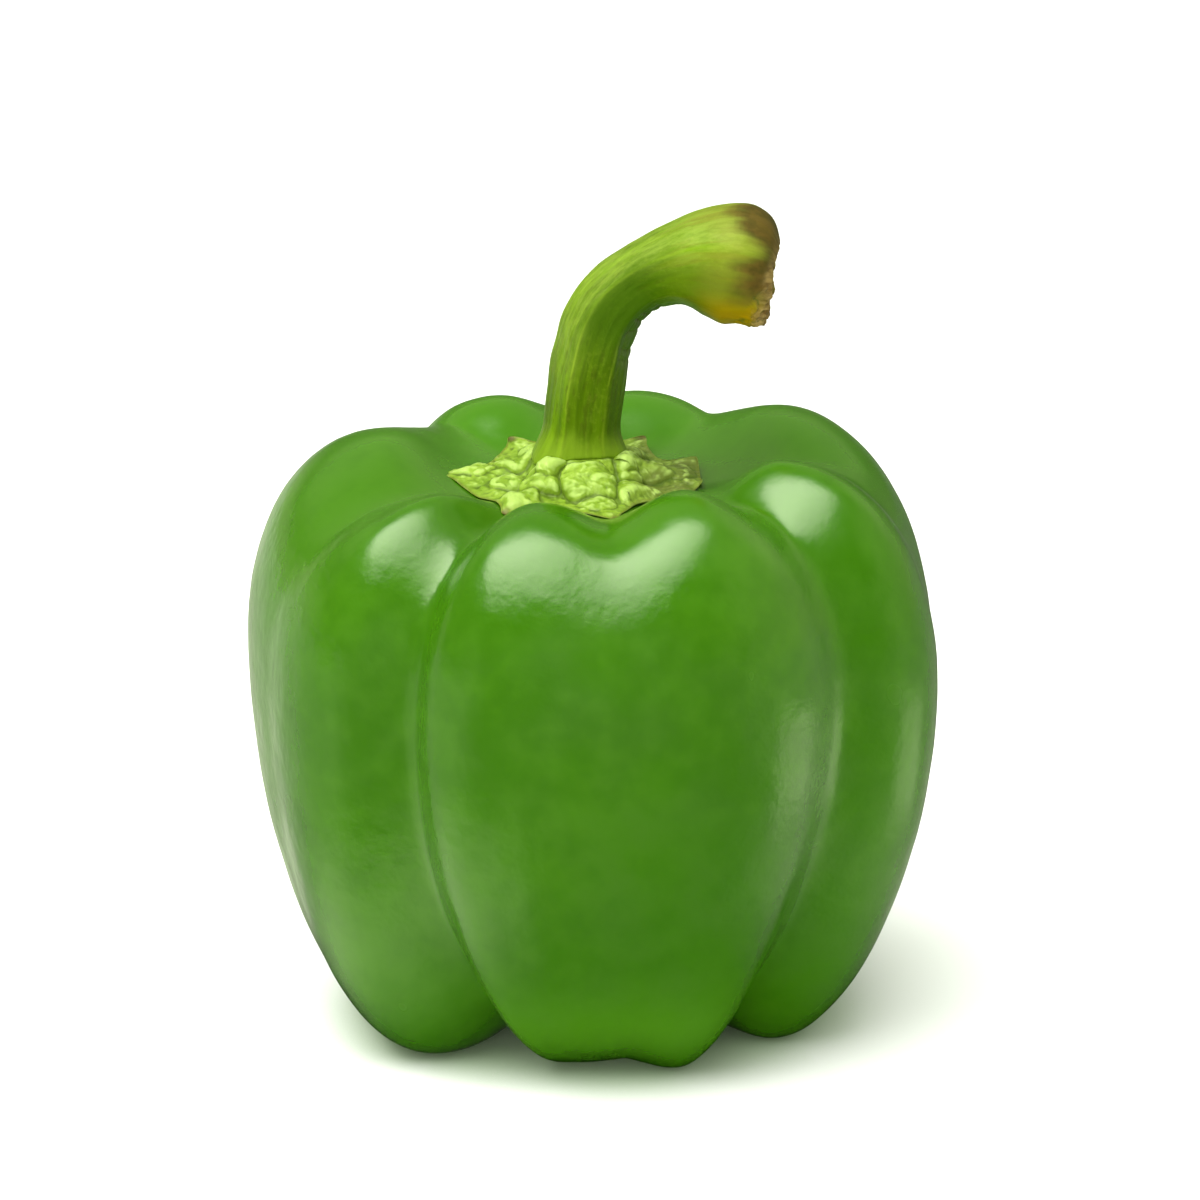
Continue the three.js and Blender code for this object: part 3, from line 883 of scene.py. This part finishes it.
def stem_green():
    material, finish, shader = new_material("ribbed stem green")
    grain = finish.kept("grain", vector=True)
    drawn, long = finish.stretched(grain, 0.09), finish.stretched(grain, 0.3)
    along, bearing = finish.kept("along"), finish.kept("bearing")
    scar, head = finish.kept("scar"), finish.band(along, 0.6, 0.8)
    green = mottled(
        finish, drawn, STEM["main"], STEM["patches"], patch_scale=400.0, fleck_scale=1700.0
    )

    # the head is tan and then russet towards the scar, with an uneven edge
    blotch = finish.noise(long, 330.0, detail=4.0)
    edge = finish.sums("MULTIPLY_ADD", blotch, 0.24, finish.sums("SUBTRACT", along, 0.12))
    upper = facing(finish, bearing, -55.0, -0.05, 0.45)
    tan = finish.times(finish.band(edge, 0.74, 0.87), upper, 0.32)
    brown = finish.times(finish.band(edge, 0.86, 0.93), upper)
    streaks = finish.band(finish.noise(drawn, 1000.0), 0.56, 0.66)
    russet = mottled(
        finish, grain, STEM["russet"], STEM["russet patches"],
        patch_scale=500.0, fleck_scale=1600.0, amount=0.8,
    )
    cork = mottled(
        finish, grain, STEM["cork"], STEM["cork patches"],
        patch_scale=700.0, fleck_scale=1900.0,
    )
    scar_coats = [
        (tan, STEM["tan"]),
        (finish.times(streaks, head, 0.3), STEM["streaks"]),
        (finish.times(brown, 0.92), russet),
        (scar, finish.blend(finish.kept("core"), cork, STEM["core"])),
        # painted shade in the hollows
        (finish.band(finish.kept("hollow"), 0.6, 1.0, end=0.6), STEM["hollows"]),
    ]
    coats = shaft_coats(finish, grain, long, along, bearing)
    coats += bend_coats(finish, long, head, along, bearing)
    coats += scar_coats

    pitted = finish.sums("MULTIPLY_ADD", scar, 0.7, 0.2)
    layers = [
        (finish.noise(drawn, 1700.0, detail=3.0), 0.4, 0.12 * MM),
        (finish.noise(grain, 2400.0, detail=3.0), pitted, 0.2 * MM),
    ]
    dull = finish.sums("MAXIMUM", scar, finish.times(brown, 0.6))
    green_gloss = finish.band(blotch, 0.3, 0.7, start=0.34, end=0.46)
    values = {
        "Base Color": finish.painted(green, coats),
        "Normal": finish.relief(layers),
        "Roughness": finish.sums("MULTIPLY_ADD", dull, 0.45, green_gloss),
        "Specular IOR Level": 0.3,
        "Specular Tint": (0.9, 1.0, 0.25, 1),
    }
    finish.fill_all(shader, values)
    return material


def dress(piece, node, material):
    piece.data.materials.append(material)
    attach(piece, "root")
    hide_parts(node)


pepper = make_fruit()
dress(pepper, "fruit", fruit_skin())
dress(make_calyx(pepper), "calyx", calyx_green())
dress(make_stem(), "stem", stem_green())


# Studio
# The two lights: where the middle of each is, its turn in degrees, its size across and
# up or back, and how bright it is. The front fill doesn't show in the gloss.
SOFTBOX = {
    "middle": (-0.44, -0.76, 1.27),
    "turn": (0, 0, -8),
    "size": (1.86, 2.17),
    "radiance": 1.0,
}
FRONT_FILL = {
    "middle": (-0.15, -1.1, 0.2),
    "turn": (80, 0, -8),
    "size": (0.9, 0.4),
    "radiance": 5.5,
}
# The softbox is brightest round one place: right and back, and a distance from it and the
# brightness there, near and far.
SOFTBOX_GLOW = {"middle": (-0.57, 0.06), "near": (0.45, 6.2), "far": (1.7, 0.5)}
# Out to this share of the way to its edges it keeps its brightness, and then it fades.
SOFTBOX_EVEN = 0.72
SOFTBOX_BODY, SOFTBOX_EDGE = 1.1, 0.15
AMBIENT = 0.85
WHITE = 1.02  # what the camera sees round the pepper

# How bright the pepper's gloss mirrors the floor and the walls: at its left, at its right
# and behind it, and what it mirrors everywhere.
FLOOR_SIDES = (0.55, 0.5, 0.15)
FLOOR_LEAST = 0.06
WALL_SIDES = (0.1, 0.68, 0.12)
WALL_LEAST = 0.03
# The tints of the floor and the walls in the gloss, and of the soft light all round.
FLOOR_GLOSS = (0.93, 1.0, 0.74, 1)
WALL_GLOSS = (0.86, 1.0, 0.5, 1)
SOFT_LIGHT = (0.94, 1.0, 0.84, 1)
UNTINTED = (1, 1, 1, 1)

# The floor's own colour in the open, and a painted green shadow close under the pepper.
FLOOR_OPEN = (0.86, 0.87, 0.84, 1)
FLOOR_PAINTED_SHADOW = (0.5, 0.66, 0.4, 1)
# The painted shadow reaches this near the pepper.
PAINTED_SHADOW_REACH = 0.014  # how near the pepper the floor takes its green
SHADE_REACH = 0.035  # how near it the mirrored floor darkens

CAMERA_TARGET = Vector((1.25, 0, 56)) * MM
CAMERA_AWAY = 0.7  # from its target
CAMERA_TILT = 17.0  # degrees down
CAMERA_LENS, CAMERA_SENSOR = 161.7, 36.0  # millimetres


def by_side(finish, bearing, left, right, back):
    """How bright the studio is round the pepper: nothing in front, and a number for its
    left, its right and its back. The bearings are in radians."""
    at_left = finish.band(bearing, -0.6, -1.0, end=left)
    at_right = finish.band(bearing, 0.65, 1.25, end=right)
    behind = finish.band(bearing, 2.1, 2.75, start=1.0, end=back / right)
    behind_left = finish.band(bearing, -2.7, -3.1, start=1.0, end=back / left)
    return finish.plus(finish.times(at_left, behind_left), finish.times(at_right, behind))


def openness(finish, reach):
    """How little of the sky over the floor the pepper hides, within a reach."""
    return finish.add("ShaderNodeAmbientOcclusion", {"Distance": reach}, output=1, samples=8)


def mirrored_floor(finish, where):
    """How bright the pepper's gloss mirrors the floor: pale at its left and right, with
    brighter patches, and dark in front and close under it. The bearings are in radians."""
    x, y, _ = finish.split(where)
    bearing = finish.bearing(x, y)
    away = finish.add("ShaderNodeVectorMath", {0: where}, output=1, operation="LENGTH")
    near = finish.band(away, 0.13, 0.06)
    off_patch = finish.sums("ABSOLUTE", finish.plus(finish.sums("DIVIDE", y, x), 0.22))
    patch = finish.times(
        finish.band(away, 0.085, 0.11),
        finish.band(away, 0.24, 0.17),
        finish.band(off_patch, 0.4, 0.15),
        finish.band(x, 0.0, 0.05, end=1.3),
    )
    at_left = finish.times(finish.band(bearing, -0.15, -0.55), finish.band(bearing, -1.7, -1.1))
    at_right = finish.times(finish.band(bearing, 0.5, 0.9), finish.band(bearing, 1.9, 1.4))
    rear_left = finish.times(finish.band(bearing, -1.8, -2.3), finish.band(bearing, -3.1, -2.7))
    left = finish.times(near, at_left, 1.2)
    right = finish.times(near, at_right, 0.35, finish.band(away, 0.055, 0.075))
    far = finish.plus(by_side(finish, bearing, *FLOOR_SIDES), patch)
    mirrored = finish.plus(finish.plus(left, right), far)
    mirrored = finish.sums("MULTIPLY_ADD", rear_left, 0.35, mirrored)
    shade = finish.band(openness(finish, SHADE_REACH), 0.45, 0.95, start=0.02)
    return finish.times(finish.plus(mirrored, FLOOR_LEAST), shade)


def make_floor():
    """A white floor, with a painted green shadow close under the pepper. For the pepper's gloss
    it glows instead: a painted reflection of dim ground, with a paler stretch at each side."""
    bpy.ops.object.select_all(action="DESELECT")
    bpy.ops.mesh.primitive_plane_add(size=8.0, location=(0, 0, 0))
    floor = bpy.context.active_object
    floor.name = "floor"
    material, finish, shader = new_material("white floor")
    # Painted shadow: green and darker where the pepper hides the floor's sky.
    open_sky = finish.band(openness(finish, PAINTED_SHADOW_REACH), 0.0, 0.65)
    values = {
        "Roughness": 0.9,
        "Specular IOR Level": 0.0,
        "Base Color": finish.blend(open_sky, FLOOR_PAINTED_SHADOW, FLOOR_OPEN),
    }
    finish.fill_all(shader, values)
    mirrored = mirrored_floor(finish, finish.place())
    # For the gloss the floor glows: a painted reflection of dim ground, darkened as painted shade
    # close under the pepper.
    glow = finish.add("ShaderNodeEmission", {"Color": FLOOR_GLOSS, "Strength": mirrored})
    in_gloss = finish.add("ShaderNodeLightPath", output=3)
    seen = finish.add("ShaderNodeMixShader", {0: in_gloss, 1: shader.outputs[0], 2: glow})
    out = next(n for n in material.node_tree.nodes if n.type == "OUTPUT_MATERIAL")
    finish.fill(out.inputs["Surface"], seen)
    floor.data.materials.append(material)


def make_light(name, shape):
    """A soft rectangular light."""
    light = bpy.data.lights.new(name, "AREA")
    light.shape = "RECTANGLE"
    light.size, light.size_y = shape["size"]
    light.energy = shape["radiance"] * math.pi * light.size * light.size_y
    lamp = bpy.data.objects.new(name, light)
    lamp.location = shape["middle"]
    lamp.rotation_euler = [math.radians(angle) for angle in shape["turn"]]
    bpy.context.scene.collection.objects.link(lamp)
    return lamp


def fade(light):
    """The softbox is brightest over the pepper's left, and fades from there and towards
    its edges."""
    light.use_nodes = True
    finish = Finish(light.node_tree)
    place = finish.add("ShaderNodeNewGeometry", output=0)
    middle = (*SOFTBOX_GLOW["middle"], SOFTBOX["middle"][2])
    away = finish.add(
        "ShaderNodeVectorMath", {0: place, 1: middle}, output=1, operation="DISTANCE"
    )
    (near, bright), (far, dim) = SOFTBOX_GLOW["near"], SOFTBOX_GLOW["far"]
    ends = {"From Min": near, "From Max": far, "To Min": bright, "To Max": dim}
    strength = finish.add("ShaderNodeMapRange", {"Value": away, **ends})
    straight = -math.radians(SOFTBOX["turn"][2])
    turned = finish.add(
        "ShaderNodeVectorRotate",
        {"Vector": place, "Center": SOFTBOX["middle"], "Angle": straight},
    )
    off = finish.add(
        "ShaderNodeVectorMath", {0: turned, 1: SOFTBOX["middle"]}, operation="SUBTRACT"
    )
    for across, size in zip(finish.split(off), SOFTBOX["size"]):
        side = finish.sums("ABSOLUTE", finish.sums("DIVIDE", across, size / 2))
        even = finish.band(side, 1.0, SOFTBOX_EVEN, start=SOFTBOX_EDGE, end=SOFTBOX_BODY)
        strength = finish.times(strength, even)
    emission = next(n for n in light.node_tree.nodes if n.type == "EMISSION")
    finish.fill(emission.inputs["Strength"], strength)


def mirrored_walls(finish, towards):
    """How bright the pepper's gloss mirrors its surround: pale at the right, dim at the left
    and behind, but paler high up behind and in a low strip at the rear left, and dark
    in front."""
    across, back, up = finish.split(towards)
    sides = by_side(finish, finish.bearing(across, back), *WALL_SIDES)
    walls = finish.times(sides, finish.band(up, 0.8, 0.6, start=0.5))
    high = finish.times(finish.band(up, 0.26, 0.42), finish.band(back, 0.2, 0.6, end=0.38))
    strip = finish.times(
        finish.band(across, -0.2, -0.45),
        finish.band(back, 0.2, 0.5),
        finish.band(up, 0.24, 0.1, end=0.5),
    )
    return finish.plus(walls, high, WALL_LEAST, strip)


def make_surround():
    """A surround that lights the pepper evenly, and that its gloss mirrors dimly. The camera
    sees plain white."""
    world = bpy.data.worlds.new("studio")
    bpy.context.scene.world = world
    world.use_nodes = True
    world.node_tree.nodes.clear()
    finish = Finish(world.node_tree)
    walls = mirrored_walls(finish, finish.add("ShaderNodeTexCoord", output=0))
    path = world.node_tree.nodes.new("ShaderNodeLightPath").outputs
    light = finish.add("ShaderNodeMix", {0: path["Is Glossy Ray"], 2: AMBIENT, 3: walls})
    strength = finish.add("ShaderNodeMix", {0: path["Is Camera Ray"], 2: light, 3: WHITE})
    tint = finish.blend(path["Is Diffuse Ray"], UNTINTED, SOFT_LIGHT)
    tint = finish.blend(path["Is Glossy Ray"], tint, WALL_GLOSS)
    shade = finish.add("ShaderNodeBackground", {"Color": tint, "Strength": strength})
    out = world.node_tree.nodes.new("ShaderNodeOutputWorld")
    finish.fill(out.inputs["Surface"], shade)


def make_camera():
    data = bpy.data.cameras.new("camera")
    data.sensor_width = CAMERA_SENSOR
    data.lens = CAMERA_LENS
    data.clip_start, data.clip_end = 0.01, 20.0
    camera = bpy.data.objects.new("camera", data)
    bpy.context.scene.collection.objects.link(camera)
    tilt = math.radians(CAMERA_TILT)
    back = Vector((0, -math.cos(tilt), math.sin(tilt)))
    camera.location = CAMERA_TARGET + back * CAMERA_AWAY
    camera.rotation_mode = "QUATERNION"
    camera.rotation_quaternion = back.to_track_quat("Z", "Y")
    bpy.context.scene.camera = camera


make_floor()
softbox = make_light("softbox", SOFTBOX)
fade(softbox.data)
make_light("front fill", FRONT_FILL).visible_glossy = False
make_surround()
make_camera()
bpy.context.scene.view_settings.view_transform = "Standard"
bpy.context.scene.view_settings.look = "None"
